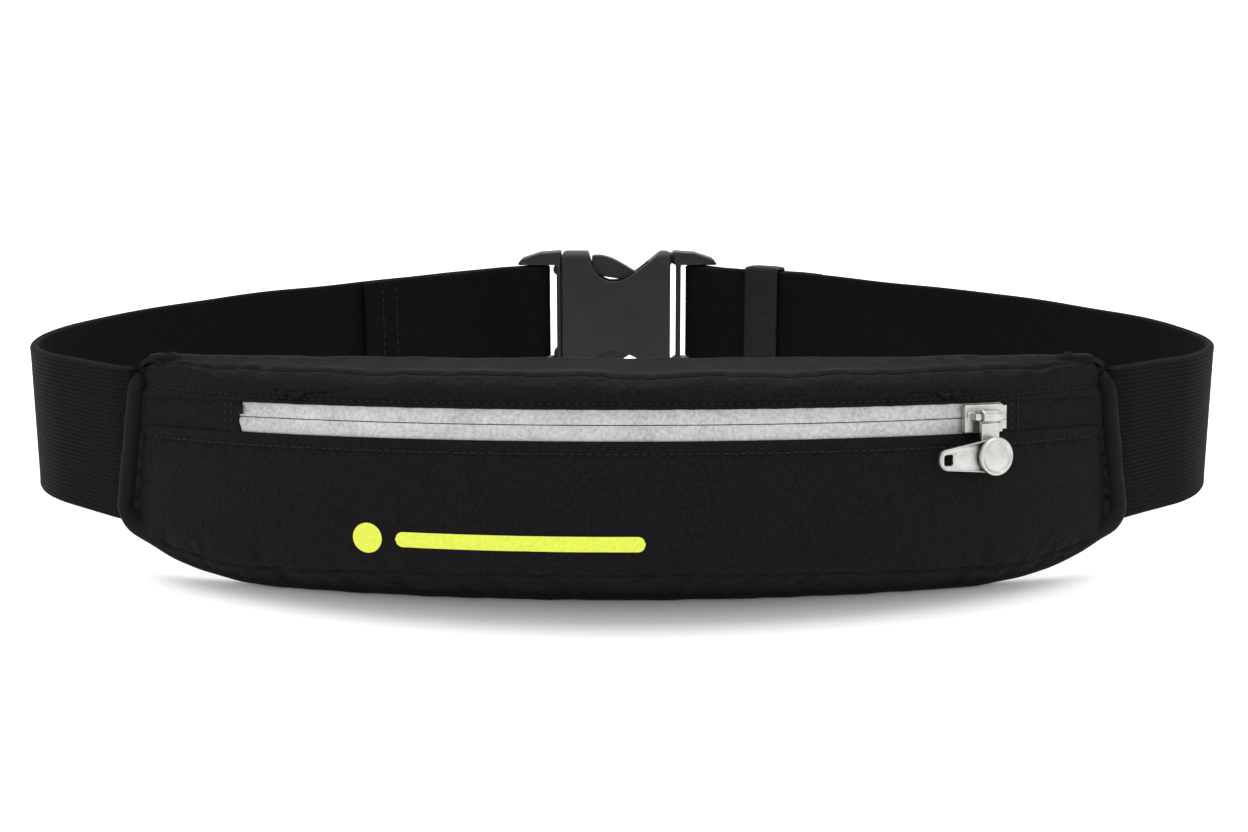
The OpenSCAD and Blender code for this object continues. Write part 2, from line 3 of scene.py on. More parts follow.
import bmesh
import bpy
import numpy as np
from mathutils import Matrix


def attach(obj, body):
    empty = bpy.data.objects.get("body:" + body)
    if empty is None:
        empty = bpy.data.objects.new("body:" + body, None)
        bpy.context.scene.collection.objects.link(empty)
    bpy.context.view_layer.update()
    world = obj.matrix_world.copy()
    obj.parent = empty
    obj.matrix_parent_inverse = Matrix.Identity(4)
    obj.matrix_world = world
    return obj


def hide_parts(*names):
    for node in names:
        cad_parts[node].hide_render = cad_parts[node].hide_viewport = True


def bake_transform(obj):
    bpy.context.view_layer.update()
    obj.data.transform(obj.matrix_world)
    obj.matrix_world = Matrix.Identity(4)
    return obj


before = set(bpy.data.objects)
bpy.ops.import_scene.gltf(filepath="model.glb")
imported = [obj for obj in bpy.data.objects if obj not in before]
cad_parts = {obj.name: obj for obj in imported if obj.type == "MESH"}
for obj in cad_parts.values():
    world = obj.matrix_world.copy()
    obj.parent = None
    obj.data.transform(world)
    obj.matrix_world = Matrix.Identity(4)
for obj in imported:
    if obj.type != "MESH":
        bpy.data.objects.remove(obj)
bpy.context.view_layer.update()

# ---------------------------------------------------------------- camera
# A little above the belt, in front of the pouch, looking slightly down over it to the buckle.
camera = bpy.data.objects.new("camera", bpy.data.cameras.new("camera"))
bpy.context.scene.collection.objects.link(camera)
camera.data.sensor_width = 36
camera.data.lens = 34.62
camera.data.shift_y = -0.0801
camera.location = (0.0005, -0.3689, 0.1043)
look_down = 8.77
camera.rotation_euler = (math.radians(90 - look_down), 0, 0)
camera.data.clip_start = 0.01
bpy.context.scene.camera = camera

# ---------------------------------------------------------------- back panel
# The padded panel that lies against the body: thin foam between two layers of knitted mesh, bent
# round the waist. Its edge is bound all round, so the face swells a little between the bindings.
mm = 0.001
lean = math.radians(7)
apex_y, ground_z = -110.314, 1.327
back_r, back_t = 400.0, 3.5
front_r, front_centre = 222.162, 203.162
half_w, corner_r, bind_w = 120.0, 8.0, 4.5
end_x = half_w - corner_r
low_corner_z, high_corner_z, high_corner_x, side_lean = 17.3, 43.5, 109.0, 3.0
rise_from, rise_run, end_rise = 78.0, 42.0, 10.0


def placed(x, y, z):
    """Pouch millimetres to metres in the belt's frame: turned back by the lean about X, then set down."""
    x, y, z = np.broadcast_arrays(x, y, z)
    return mm * np.stack([x, y * math.cos(lean) + z * math.sin(lean) + apex_y,
                          z * math.cos(lean) - y * math.sin(lean) + ground_z], -1)


def back_y(x, d=0.0):
    """The bend round the body at depth d: a circle of radius back_r + d about a line behind the apex."""
    return back_r - np.sqrt((back_r + d) ** 2 - x ** 2)


def front_y(x, u=0.0):
    """The front bend: a circle of radius front_r + u about its own line."""
    return front_centre - np.sqrt((front_r + u) ** 2 - x ** 2)


def foot_z(x):
    """Lower edge: level on the ground under the lean, then rising as a square law towards each end."""
    level = (back_r - np.sqrt(back_r ** 2 - x ** 2)) * math.tan(lean)
    return level + end_rise * (np.maximum(0, abs(x) - rise_from) / rise_run) ** 2


def head_z(x):
    """Upper edge: straight, with a round corner of radius corner_r from high_corner_x outwards."""
    return high_corner_z + np.sqrt(corner_r ** 2 - np.clip(abs(x) - high_corner_x, 0, 7.9) ** 2)


def side_x(z):
    """Half the width at height z: it leans in by side_lean over the 26.2 mm between the two corners."""
    return half_w - side_lean * np.clip((z - low_corner_z) / 26.2, 0, 1)


def inside_x(z, inset):
    """Half the width inside the edge at height z: inset from the side, and 1 mm within the lower corner."""
    arc = np.sqrt(np.maximum(corner_r ** 2 - np.maximum(low_corner_z - z, 0) ** 2, 4))
    return np.minimum(side_x(z) - inset, end_x - 1 + arc)


def make_piece(name, points, join_rows=False, join_columns=False, capped=False, uv=None, outward=None):
    """One mesh piece from a grid of points: each cell of the grid is a face. Rows or columns may close on
    themselves, and capped closes the two end rows. uv is a grid in metres, one longer where the grid closes.
    Faces turn to the side of outward, or where none is given, away from the inside of the closed shape."""
    n, m = points.shape[:2]
    cells = np.arange(n if join_rows else n - 1), np.arange(m if join_columns else m - 1)
    i, j = np.meshgrid(*cells, indexing="ij")
    i_next, j_next = (i + 1) % n, (j + 1) % m
    faces = np.stack([i * m + j, i_next * m + j, i_next * m + j_next, i * m + j_next], -1)
    ends = [list(range(m))[::-1], list(range((n - 1) * m, n * m))] if capped else []
    mesh = bpy.data.meshes.new(name)
    mesh.from_pydata(points.reshape(-1, 3).tolist(), [], faces.reshape(-1, 4).tolist() + ends)
    if uv is not None:
        w = uv.shape[1]
        corners = np.stack([i * w + j, (i + 1) * w + j, (i + 1) * w + j + 1, i * w + j + 1], -1).ravel()
        flat = uv.reshape(-1, 2)[corners]
        if capped:
            flat = np.vstack([flat, uv[0, :m][::-1], uv[-1, :m]])
        mesh.uv_layers.new(name="cloth").data.foreach_set("uv", flat.astype(np.float32).ravel())
    mesh.polygons.foreach_set("use_smooth", np.ones(len(mesh.polygons), bool))
    work = bmesh.new()
    work.from_mesh(mesh)
    if outward is None:
        bmesh.ops.recalc_face_normals(work, faces=work.faces)
    else:
        total = sum((f.normal * f.calc_area() for f in work.faces), start=work.faces[:][0].normal * 0)
        if total.dot(outward) < 0:
            bmesh.ops.reverse_faces(work, faces=work.faces)
    work.to_mesh(mesh)
    work.free()
    mesh.update()
    piece = bpy.data.objects.new(name, mesh)
    bpy.context.scene.collection.objects.link(piece)
    return piece


def distances(points):
    """Distance run along a line of points, from its start."""
    return np.concatenate([[0], np.cumsum(np.linalg.norm(np.diff(points, axis=0), axis=1))])


def look(name, colour, roughness, **sockets):
    """A material with its steady values on the shader's own sockets, and its list of nodes."""
    made = bpy.data.materials.new(name)
    made.use_nodes = True
    shader = made.node_tree.nodes["Principled BSDF"]
    shader.inputs["Base Color"].default_value = (*colour, 1)
    shader.inputs["Roughness"].default_value = roughness
    for socket, value in sockets.items():
        shader.inputs[socket.replace("_", " ")].default_value = value
    return made


def step(made, kind, inputs=None, **settings):
    """Adds one node to a material. Inputs are numbers, or another node's output."""
    made_node = made.node_tree.nodes.new("ShaderNode" + kind)
    for key, value in settings.items():
        setattr(made_node, key, value)
    for key, value in (inputs or {}).items():
        if isinstance(value, bpy.types.NodeSocket):
            made.node_tree.links.new(value, made_node.inputs[key])
        else:
            made_node.inputs[key].default_value = value
    return made_node.outputs


def maths(made, operation, *values):
    """One sum on numbers or outputs."""
    return step(made, "Math", dict(enumerate(values)), operation=operation)[0]


def colour_between(made, low, high, amount, socket="Base Color"):
    """Two colours mixed by an output, into the shader."""
    mixed = step(made, "Mix", {0: amount, 6: (*low, 1), 7: (*high, 1)}, data_type="RGBA")[2]
    made.node_tree.links.new(mixed, made.node_tree.nodes["Principled BSDF"].inputs[socket])


def raised(made, height, distance, strength=1.0):
    """A height in 0..1 as bump of that distance in metres."""
    bump = step(made, "Bump", {"Height": height, "Distance": distance, "Strength": strength})[0]
    made.node_tree.links.new(bump, made.node_tree.nodes["Principled BSDF"].inputs["Normal"])


def rough_between(made, low, high, amount):
    """Roughness from low to high by an output."""
    spread = step(made, "MapRange", {"Value": amount, "To Min": low, "To Max": high})[0]
    made.node_tree.links.new(spread, made.node_tree.nodes["Principled BSDF"].inputs["Roughness"])


def dress(piece, made, slot, body, *nodes):
    """Gives a piece its material, the body it rides on, and the CAD nodes it stands for. slot is not used."""
    piece.data.materials.clear()
    piece.data.materials.append(made)
    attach(piece, body)
    if nodes:
        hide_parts(*nodes)
    return piece


def thicken(piece, thickness):
    """Cloth of that thickness in metres, inwards from the surface."""
    shell = piece.modifiers.new("thickness", "SOLIDIFY")
    shell.thickness = thickness
    shell.offset = -1


mesh_knit = look("back_mesh", (0.006, 0.006, 0.0065), 0.85, Specular_IOR_Level=0.05)
place = step(mesh_knit, "TexCoord")["Object"]
cell = step(mesh_knit, "TexVoronoi", {"Vector": place, "Scale": 430.0}, feature="F1")["Distance"]
hole = step(mesh_knit, "MapRange", {"Value": cell, "From Min": 0.1, "From Max": 0.55})[0]
colour_between(mesh_knit, (0.002, 0.002, 0.002), (0.009, 0.009, 0.0098), hole)
raised(mesh_knit, hole, 0.0005, 0.8)

share = np.linspace(-1, 1, 150)[:, None]
columns = share * 113.0
turn = np.linspace(0, 2 * math.pi, 73)[None, :-1]
across = np.sign(np.sin(turn)) * abs(np.sin(turn)) ** 0.22
through = np.sign(np.cos(turn)) * abs(np.cos(turn)) ** 0.5
half_height = (head_z(columns) - foot_z(columns)) / 2
pad_z = foot_z(columns) + half_height * (1 + across)
columns = share * inside_x(pad_z, 3.2)
swell = 0.35 * np.clip(1 - across ** 4, 0, 1) * np.clip(1 - share ** 8, 0, 1)
quilt = 0.18 * np.cos(2 * math.pi * columns / 28) * np.clip(1 - across ** 2, 0, 1)
pad_d = back_t / 2 + (back_t / 2 - 0.1 + np.where(through < 0, swell + quilt, 0)) * through
pad_points = placed(columns, back_y(columns, pad_d), pad_z)
back_pad = make_piece("back_pad", pad_points, join_columns=True, capped=True)
dress(back_pad, mesh_knit, "back_mesh", "root", "back_panel")

# ---------------------------------------------------------------- rolled edges
# Smooth knit folded over the raw edge all round the pouch and sewn through. One roll runs down each
# end, where it also holds the webbing, and along the bottom; a second one runs along the top.
smooth_knit = look("edge_cloth", (0.006, 0.006, 0.0066), 0.7, Specular_IOR_Level=0.06)
place = step(smooth_knit, "TexCoord")["Object"]
nap = step(smooth_knit, "TexNoise", {"Vector": place, "Scale": 1500.0, "Detail": 3.0})[0]
mottle = step(smooth_knit, "TexNoise", {"Vector": place, "Scale": 90.0, "Detail": 2.0})[0]
colour_between(smooth_knit, (0.004, 0.004, 0.0044), (0.0085, 0.0084, 0.0094), mottle)
raised(smooth_knit, nap, 0.00012, 0.7)


def ripple(x, wavelengths, seed):
    """A smooth random wave about 1 high: sines of the given wavelengths with seeded phases, averaged."""
    phases = np.random.default_rng(seed).uniform(0, 2 * math.pi, len(wavelengths))
    waves = [np.sin(2 * math.pi * x / w + p) for w, p in zip(wavelengths, phases)]
    return sum(waves) / len(wavelengths) ** 0.5


def half_edge(inset, top_turn):
    """Right half of the pouch's outline, moved in by inset: along the foot, round the lower corner, up the
    leaning side and round the upper corner by top_turn degrees, as widths and heights about 1 mm apart."""
    foot_end = 115.4
    x = np.linspace(0, foot_end, 110)
    level_slope = x / np.sqrt(back_r ** 2 - x ** 2) * math.tan(lean)
    fall = np.arctan(level_slope + 2 * end_rise * np.maximum(0, x - rise_from) / rise_run ** 2)
    low = np.radians(np.linspace(-60, 0, 9))
    high = np.radians(np.linspace(0, top_turn, 9))
    side_z = np.linspace(low_corner_z + 1, high_corner_z - 1, 24)
    arc = corner_r - inset
    widths = [x - inset * np.sin(fall), end_x + arc * np.cos(low),
              side_x(side_z) - inset, high_corner_x + arc * np.cos(high)]
    heights = [foot_z(x) + inset * np.cos(fall), low_corner_z + arc * np.sin(low),
               side_z, high_corner_z + arc * np.sin(high)]
    return np.stack([np.concatenate(widths), np.concatenate(heights)], 1)


def roll_along(name, line, wide, deep, depth):
    """A round roll swept along a line of widths and heights: at each point an ellipse, wide across the line
    in the pouch's face and deep through it, which closes to a blunt end over the last few millimetres."""
    run = distances(line)
    blunt = np.sqrt(np.clip(np.minimum(run, run[-1] - run) / 2.5, 0.02, 1))[:, None]
    along = np.gradient(line, axis=0)
    along /= np.linalg.norm(along, axis=1, keepdims=True)
    around = np.linspace(0, 2 * math.pi, 25)[None, :-1]
    bulge = 1 + 0.035 * ripple(run[:, None], (23, 14, 9), len(line))
    off = wide[:, None] * blunt * bulge * np.cos(around)
    x, z = line[:, :1] - along[:, 1:] * off, line[:, 1:] + along[:, :1] * off
    y = back_y(line[:, :1], depth) - deep[:, None] * blunt * np.sin(around)
    return make_piece(name, placed(x, y, z), join_columns=True, capped=True)


outer, inner = half_edge(0.45, 62), half_edge(2.45, 62)
toward_side = (1 / (1 + np.exp(-(outer[:, 0] - 108) / 2.5)))[:, None]
half_line = outer + (inner - outer) * toward_side
u_line = np.vstack([half_line[::-1] * [-1, 1], half_line[1:]])
toward_side = np.concatenate([toward_side[::-1, 0], toward_side[1:, 0]])
edge_wide, edge_deep = 1.75 + 0.75 * toward_side, 2.35 + 1.2 * toward_side
edge_roll = roll_along("rolled_edge", u_line, edge_wide, edge_deep, back_t / 2)
dress(edge_roll, smooth_knit, "edge_cloth", "root", "piping_bottom", "binding_left", "binding_right")
top_x = np.linspace(-112.6, 112.6, 230)
top_line = np.stack([top_x, head_z(top_x) - 0.2 + 0.1 * ripple(top_x, (31, 17, 47), 5)], 1)
top_roll = roll_along("rolled_edge_top", top_line, 1.8 + 0 * top_x, 2.3 + 0 * top_x, back_t / 2)
dress(top_roll, smooth_knit, "edge_cloth", "root", "piping_top")

# ---------------------------------------------------------------- front cloth and gussets
# Two skins of stretch softshell, one below the zip and one above it. Each is sewn to the back panel,
# comes forward as a gusset, has a seam along its rounded corner, and is folded under at the zip.
zip_low, zip_high = 36.05, 43.95
skin_half = 114.5
skin_share = np.linspace(-1, 1, 115)[:, None]
skin_x = skin_share * skin_half
front, back = front_y(skin_x), back_y(skin_x, back_t)
room = np.maximum(back - front, 0)
low_round = np.minimum(2.2, 0.45 * room)
high_round = np.minimum(6.0, 0.6 * room)


def rows(*stretches):
    """Joins stretches of rows into one grid of y and one of z. A stretch is its y, its z and its count."""
    spread = [[np.broadcast_to(values, (len(skin_x), count)) for values in (y, z)]
              for y, z, count in stretches]
    return [np.concatenate(grids, 1) for grids in zip(*spread)]


part = np.linspace(0, 1, 9)[None, :-1]
bend = np.linspace(0, math.pi / 2, 8)[None, :-1]
rise = np.linspace(0, 1, 23)[None, :-1]
fold_y = np.array([[0.0, 0.12, 0.5, 1.1]])
fold_z = np.array([[0.0, 0.4, 0.62, 0.55]])
foot = foot_z(skin_x)
gusset_slope = 7.5 / 19
corner_z = foot + (back_y(skin_x) - front) * gusset_slope
turn_in = np.linspace(0, 1, 8)[None, :-1]
low_y, low_z = rows(
    (back + (front + low_round - back) * part, foot + (corner_z - low_round * gusset_slope - foot) * part, 8),
    (front + low_round * (1 - turn_in) ** 2,
     corner_z - low_round * gusset_slope * (1 - turn_in) ** 2 + low_round * turn_in ** 2, 7),
    (front, corner_z + low_round + (zip_low - corner_z - low_round) * rise, 22),
    (front + fold_y, zip_low + fold_z, 4))
low_seam_row = 10
head = head_z(skin_x)
short_rise = np.linspace(0, 1, 7)[None, :-1]
to_back = np.linspace(0, 1, 9)[None, :]
top_bulge = 1.5 * abs(np.sin(math.pi * to_back ** 3)) ** 0.8
high_y, high_z = rows(
    (front + fold_y[:, :0:-1], zip_high - fold_z[:, :0:-1], 3),
    (front, zip_high + (head - high_round - zip_high) * short_rise, 6),
    (front + high_round * (1 - np.cos(bend)), head - high_round * (1 - np.sin(bend)), 7),
    (front + high_round + (back - front - high_round) * to_back, head + top_bulge, 9))
high_seam_row = 14


def to_side(y, z):
    """The skin's points: columns spread so that the ends reach the rolled edge, less far round the lower
    corner, and turned in by 1.6 mm over the last few millimetres."""
    x = skin_x + (inside_x(z, bind_w - 0.6) - skin_half) * skin_share * abs(skin_share) ** 9
    tuck = 1.6 * np.clip((abs(skin_share) - 0.955) / 0.045, 0, 1) ** 2
    return placed(x, y + front_y(x) - front_y(skin_x) + tuck, z)


def relax(name, points, pinned_rows, cap, slack, frames=20):
    """Lets a skin of cloth belly out: Blender's Cloth with slack more cloth than the flat shape, pulled
    gently forwards, held at its ends and pinned rows. No point moves further than cap, in metres."""
    n, m = points.shape[:2]
    cloth = make_piece(name, points, outward=(0, -1, 0))
    hold = np.zeros((n, m))
    hold[[0, 1, -2, -1]] = 1
    hold[:, pinned_rows] = 1
    group = cloth.vertex_groups.new(name="held")
    group.add(np.flatnonzero(hold.ravel() > 0).tolist(), 1.0, "REPLACE")
    sim = cloth.modifiers.new("cloth", "CLOTH")
    sim.settings.vertex_group_mass = "held"
    sim.settings.quality = 8
    sim.settings.mass = 0.15
    sim.settings.tension_stiffness = 20
    sim.settings.compression_stiffness = 20
    sim.settings.shear_stiffness = 8
    sim.settings.bending_stiffness = 0.6
    sim.settings.air_damping = 2
    sim.settings.shrink_min = -slack
    sim.point_cache.frame_start, sim.point_cache.frame_end = 1, frames
    scene = bpy.context.scene
    scene.gravity = (0, -4, -0.6)
    for f in range(1, frames + 1):
        scene.frame_set(f)
    found = cloth.evaluated_get(bpy.context.evaluated_depsgraph_get()).to_mesh()
    co = np.zeros(len(found.vertices) * 3, np.float32)
    found.vertices.foreach_get("co", co)
    scene.gravity = (0, 0, -9.81)
    scene.frame_set(1)
    bpy.data.objects.remove(cloth)
    move = co.reshape(n, m, 3) - points
    far = np.linalg.norm(move, axis=2, keepdims=True)
    print(name, "moved at most", round(1000 * float(far.max()), 2), "mm")
    return points + move * (cap * np.tanh(far / cap) / np.maximum(far, 1e-9))


def finer(grid, times):
    """The grid with that many cells for each cell, along Catmull-Rom curves through its points."""
    for axis in (0, 1):
        g = np.swapaxes(grid, 0, axis)
        n = len(g)
        t = np.linspace(0, n - 1, (n - 1) * times + 1)
        k = np.minimum(t.astype(int), n - 2)
        f = (t - k)[:, None, None]
        a, b, c, d = (g[np.clip(k + o, 0, n - 1)] for o in (-1, 0, 1, 2))
        grid = np.swapaxes(0.5 * (2 * b + (c - a) * f + (2 * a - 5 * b + 4 * c - d) * f ** 2
                                  + (3 * b - a - 3 * c + d) * f ** 3), 0, axis)
    return grid


def normals(grid, outward=(0, -1, 0)):
    """Unit normals of a grid from the cross product of its two directions, turned to face outward."""
    n = np.cross(np.gradient(grid, axis=0), np.gradient(grid, axis=1))
    n /= np.maximum(np.linalg.norm(n, axis=2, keepdims=True), 1e-12)
    return n * (1 if (n.reshape(-1, 3).mean(0) @ np.array(outward)) > 0 else -1)


def belly(grid, first, last, amount):
    """Outward swell in metres of the rows first to last: highest in the middle, none at the seams or ends."""
    n, m = grid.shape[:2]
    t = np.clip((np.arange(m) - first) / (last - first), 0, 1)[None, :]
    s = np.linspace(-1, 1, n)[:, None]
    return (amount * (4 * t * (1 - t)) ** 0.7 * (1 - abs(s) ** 4))[..., None]


def hem(grid, first, last):
    """Forward shift in metres of each row of the doubled cloth beside the zip: 0.4 mm from the fold to the
    stitches, and a soft step down past them. first and last are the rows of the stitches and of the fold."""
    k = (np.arange(grid.shape[1]) - first) * np.sign(last - first)
    return np.outer(0.0004 / (1 + np.exp(-(k - 1.5) / 0.8)), (0, -1, 0))


def seam(grid, row, depth, width, pucker, seed):
    """Height in metres of a sewn groove along one row: a dip of that depth and width in millimetres, with
    puckers beside it."""
    run = np.cumsum(np.linalg.norm(np.diff(grid, axis=1, prepend=grid[:, :1]), axis=2), 1)
    off = (run - run[:, row:row + 1]) * 1000
    x = grid[:, :1, 0] * 1000
    wave = ripple(x, (6.1, 8.7, 13.0, 4.3), seed)
    return (-depth * np.exp(-(off / width) ** 2) + pucker * wave * np.exp(-(off / (3.2 * width)) ** 2)
            * (1 - np.exp(-(off / width) ** 2)))[..., None] * mm


fine = 3
fold_row = 37
low_skin = to_side(low_y, low_z)
low_skin = low_skin + normals(low_skin) * belly(low_skin, low_seam_row, fold_row, 0.0013)
low_skin = relax("low_cloth", low_skin, [0, 1, *range(fold_row - 1, 41)], cap=0.0012, slack=0.012)
low_skin = finer(low_skin, fine)
low_row, low_stitch_row = low_seam_row * fine, fold_row * fine - 5
low_skin += normals(low_skin) * (seam(low_skin, low_row, 0.55, 0.7, 0.16, 11)
                                 + seam(low_skin, low_stitch_row - 1, 0.3, 0.5, 0.08, 12))
low_skin += hem(low_skin, low_stitch_row, (fold_row + 2) * fine)
high_skin = to_side(high_y, high_z)
high_skin = high_skin + normals(high_skin) * belly(high_skin, 2, high_seam_row, 0.0004)
high_skin = relax("high_cloth", high_skin, [*range(9), 23, 24], cap=0.0005, slack=0.008)
high_skin = finer(high_skin, fine)
high_row, high_stitch_row = high_seam_row * fine, 4 * fine + 2
high_x = high_skin[:, :1, 0] * 1000
dip = (-0.5 * np.exp(-((high_x - 8) / 7) ** 2) - 0.35 * np.exp(-((high_x - 31) / 9) ** 2)
       + 0.22 * ripple(high_x, (47, 29, 19), 21))
near_seam = np.exp(-((np.arange(high_skin.shape[1])[None, :] - high_row) / 11) ** 2)
high_skin[..., 2:] += (dip * near_seam)[..., None] * mm
high_skin += normals(high_skin, (0, -1, 1)) * (seam(high_skin, high_row, 0.6, 0.7, 0.2, 13)
                                               + seam(high_skin, high_stitch_row, 0.28, 0.45, 0.08, 14))
high_skin += hem(high_skin, high_stitch_row, 0)

softshell = look("front_cloth", (0.005, 0.005, 0.0056), 0.72, Specular_IOR_Level=0.06)
place = step(softshell, "TexCoord")["Object"]
pebble = step(softshell, "TexVoronoi", {"Vector": place, "Scale": 1450.0, "Randomness": 0.9},
              feature="SMOOTH_F1")["Distance"]
shade = step(softshell, "TexNoise", {"Vector": place, "Scale": 60.0, "Detail": 3.0})[0]
# Painted shade: the colour is darker in the hollows between the pebbles and lighter on their tops; the broad
# noise is the cloth's own mottled tone.
pebble_shade_and_mottle = maths(softshell, "MULTIPLY_ADD", shade, 0.12, maths(softshell, "MULTIPLY", pebble, 0.9))
colour_between(softshell, (0.0074, 0.0072, 0.0082), (0.0014, 0.0014, 0.0017), pebble_shade_and_mottle)
raised(softshell, maths(softshell, "SUBTRACT", 1.0, pebble), 0.00028, 1.0)

for name, grid, side, made, slot, node, fill in (
        ("front_cloth", low_skin[:, low_row:], (0, -1, 0),
         softshell, "front_cloth", "front_panel", 0.45),
        ("bottom_gusset", low_skin[:, :low_row + 1], (0, -0.3, -1),
         softshell, "front_cloth", "gusset_bottom", 0.3),
        ("upper_cloth", high_skin[:, :high_row + 1], (0, -1, 0),
         softshell, "front_cloth", "upper_panel", 0.4),
        ("top_gusset", high_skin[:, high_row:], (0, -0.3, 1),
         smooth_knit, "edge_cloth", "gusset_top", 0.3)):
    piece = make_piece(name, grid, outward=side)
    thicken(piece, 0.0009)
    dress(piece, made, slot, "root", node)

# ---------------------------------------------------------------- seams of the pouch
# Lines of black thread beside the zip, one above and one below it, where the folded cloth is sewn
# down on the tape. The same thread sews the tabs at the zip's ends, the webbing and the keeper.
thread = look("thread", (0.01, 0.01, 0.011), 0.5, Specular_IOR_Level=0.12)
place = step(thread, "TexCoord")["Object"]
strand = step(thread, "TexNoise", {"Vector": place, "Scale": 2500.0, "Detail": 1.0})[0]
colour_between(thread, (0.006, 0.006, 0.0066), (0.016, 0.016, 0.0175), strand)
raised(thread, strand, 0.0001, 0.6)


def stitches(name, path, up, length, pitch, radius, high=0.00022):
    """A row of thread: every pitch along the path lies a short round bar, highest in its middle, whose
    ends go down into the cloth. Sizes are in metres. up is the cloth's normal at each point of the path."""
    run = distances(path)
    count = max(1, int(run[-1] / pitch))
    t = np.linspace(-1, 1, 7)
    at = ((np.arange(count) + 0.5) * run[-1] / count)[:, None] + t * length / 2
    line = np.stack([np.interp(at, run, path[:, k]) for k in range(3)], -1)
    rise_by = np.stack([np.interp(at, run, up[:, k]) for k in range(3)], -1)
    rise_by /= np.linalg.norm(rise_by, axis=2, keepdims=True)
    along = np.gradient(line, axis=1)
    along /= np.linalg.norm(along, axis=2, keepdims=True)
    side = np.cross(along, rise_by)
    line = line + rise_by * (high * (1 - t ** 2) - 0.4 * radius)[None, :, None]
    ring = np.linspace(0, 2 * math.pi, 7)[:-1]
    girth = radius * np.sqrt(np.maximum(1 - t ** 4, 0.08))
    points = (line[:, :, None] + girth[None, :, None, None]
              * (rise_by[:, :, None] * np.cos(ring)[:, None] + side[:, :, None] * np.sin(ring)[:, None]))
    k, i, j = np.meshgrid(np.arange(count), np.arange(6), np.arange(6), indexing="ij")
    first = k * 42 + i * 6
    faces = np.stack([first + j, first + 6 + j, first + 6 + (j + 1) % 6, first + (j + 1) % 6], -1)
    caps = [[bar * 42 + j for j in range(6)] for bar in range(count)]
    caps += [[bar * 42 + 41 - j for j in range(6)] for bar in range(count)]
    mesh = bpy.data.meshes.new(name)
    mesh.from_pydata(points.reshape(-1, 3).tolist(), [], faces.reshape(-1, 4).tolist() + caps)
    mesh.polygons.foreach_set("use_smooth", np.ones(len(mesh.polygons), bool))
    work = bmesh.new()
    work.from_mesh(mesh)
    bmesh.ops.recalc_face_normals(work, faces=work.faces)
    work.to_mesh(mesh)
    work.free()
    piece = bpy.data.objects.new(name, mesh)
    bpy.context.scene.collection.objects.link(piece)
    return piece


for name, grid, row in (("topstitch_lower", low_skin, low_stitch_row),
                        ("topstitch_upper", high_skin, high_stitch_row)):
    line, up = grid[8:-8, row], normals(grid)[8:-8, row]
    sewn = stitches(name, line, up, length=0.0014, pitch=0.0019, radius=0.00017)
    dress(sewn, thread, "front_cloth", "root")

# ---------------------------------------------------------------- zip
# A coil zip sewn behind the window: two halves of silver coated tape whose lips nearly meet, with the
# coils behind them, and a folded tab of the front cloth at each end of the window.
window = 86.0
tape_x = np.linspace(-window - 3, window + 3, 240)[:, None]


def on_front(x, u, z):
    """A point u millimetres out from the front bend, at width x and height z."""
    angle = np.arcsin(x / front_r)
    return placed((front_r + u) * np.sin(angle), front_centre - (front_r + u) * np.cos(angle), z)


silver = look("zip_tape", (0.4, 0.41, 0.43), 0.45, Metallic=0.3, Specular_IOR_Level=0.4)
place = step(silver, "TexCoord")["Object"]
sparkle = step(silver, "TexVoronoi", {"Vector": place, "Scale": 2600.0})["Color"]
speck = step(silver, "TexNoise", {"Vector": place, "Scale": 1300.0, "Detail": 2.0})[0]
patch = step(silver, "TexNoise", {"Vector": place, "Scale": 130.0, "Detail": 2.0})[0]
amount = maths(silver, "MULTIPLY_ADD", speck, 0.7, maths(silver, "MULTIPLY", patch, 0.3))
colour_between(silver, (0.1, 0.102, 0.107), (0.66, 0.665, 0.68), amount)
rough_between(silver, 0.3, 0.6, speck)
raised(silver, maths(silver, "MULTIPLY_ADD", sparkle, 0.4, speck), 0.00012, 0.7)
zip_z, tape_w, lip = 40.0, 4.3, 0.07
tape_turn = np.linspace(0, 2 * math.pi, 41)[None, :-1]
tape_across = np.sign(np.cos(tape_turn)) * abs(np.cos(tape_turn)) ** 0.5
tape_through = np.sign(np.sin(tape_turn)) * abs(np.sin(tape_turn)) ** 0.5
for name, side in (("upper", 1), ("lower", -1)):
    z_off = lip + (tape_w - lip) / 2 * (1 - tape_across)
    crown = 0.14 * np.exp(-((z_off - 1.1) / 0.8) ** 2) + 0.03 * ripple(tape_x, (9, 14, 23), 30 + side)
    u = -0.55 - 0.07 * z_off + 0.32 * tape_through + np.where(tape_through > 0, crown, 0)
    tape_points = on_front(tape_x, u, zip_z + side * z_off)
    tape = make_piece("tape_" + name, tape_points, join_columns=True, capped=True)
    dress(tape, silver, "zip_tape", "root", "zip_tape_" + name)

